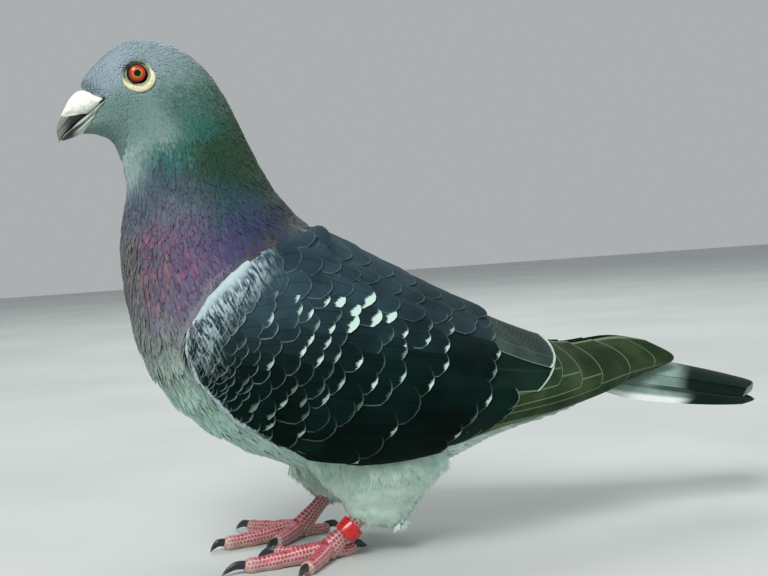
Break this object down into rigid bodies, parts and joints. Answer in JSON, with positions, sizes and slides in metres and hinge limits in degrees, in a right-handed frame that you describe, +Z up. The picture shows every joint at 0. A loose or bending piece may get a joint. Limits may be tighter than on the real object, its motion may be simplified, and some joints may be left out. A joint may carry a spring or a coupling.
{
  "type": "pigeon figure",
  "caption": "Life-size still model of a banded racing pigeon standing on both feet, with folded wings and a closed tail.",
  "frame": {"origin": "on the ground, below the middle of the whole bird's box", "axes": "+X towards the tail tip, so the bill points to -X; +Y to the bird's right side; +Z up"},
  "size_m": [0.3139, 0.1102, 0.226],
  "materials": {
    "head_feathers": "short dense feathers, blue grey, matt",
    "neck_feathers": "narrow glossy feathers, green to violet sheen",
    "body_feathers": "soft overlapping feathers, grey to white below",
    "wing_feathers": "firm overlapping feathers, dark slate with pale tips",
    "flight_feathers": "stiff flight feathers, olive grey with pale rims",
    "tail_feathers": "stiff tail feathers, grey with a dark end band",
    "thigh_feathers": "loose downy feathers, white",
    "bill": "horn, dark with a satin gloss",
    "cere": "powdery white skin, matt",
    "eye": "wet gloss, orange red iris round a black pupil",
    "leg_skin": "red horny scales with pale seams between them",
    "claw": "dark horn, satin",
    "band": "bright red enamel"
  },
  "bodies": {
    "root": {"bill_upper": "bill", "bill_lower": "bill", "cere": "cere", "eye_left": "eye", "eye_right": "eye", "head": "head_feathers", "neck": "neck_feathers", "trunk": "body_feathers", "tail": "tail_feathers", "wing_left_shield": "wing_feathers", "wing_left_primaries": "flight_feathers", "wing_right_shield": "wing_feathers", "wing_right_primaries": "flight_feathers", "thigh_left": "thigh_feathers", "thigh_right": "thigh_feathers", "tarsus_left": "leg_skin", "tarsus_right": "leg_skin", "toe_left_middle": "leg_skin", "toe_left_inner": "leg_skin", "toe_left_outer": "leg_skin", "toe_left_back": "leg_skin", "toe_right_middle": "leg_skin", "toe_right_inner": "leg_skin", "toe_right_outer": "leg_skin", "toe_right_back": "leg_skin", "claw_left_middle": "claw", "claw_left_inner": "claw", "claw_left_outer": "claw", "claw_left_back": "claw", "claw_right_middle": "claw", "claw_right_inner": "claw", "claw_right_outer": "claw", "claw_right_back": "claw", "leg_band": "band"}
  },
  "joints": []
}
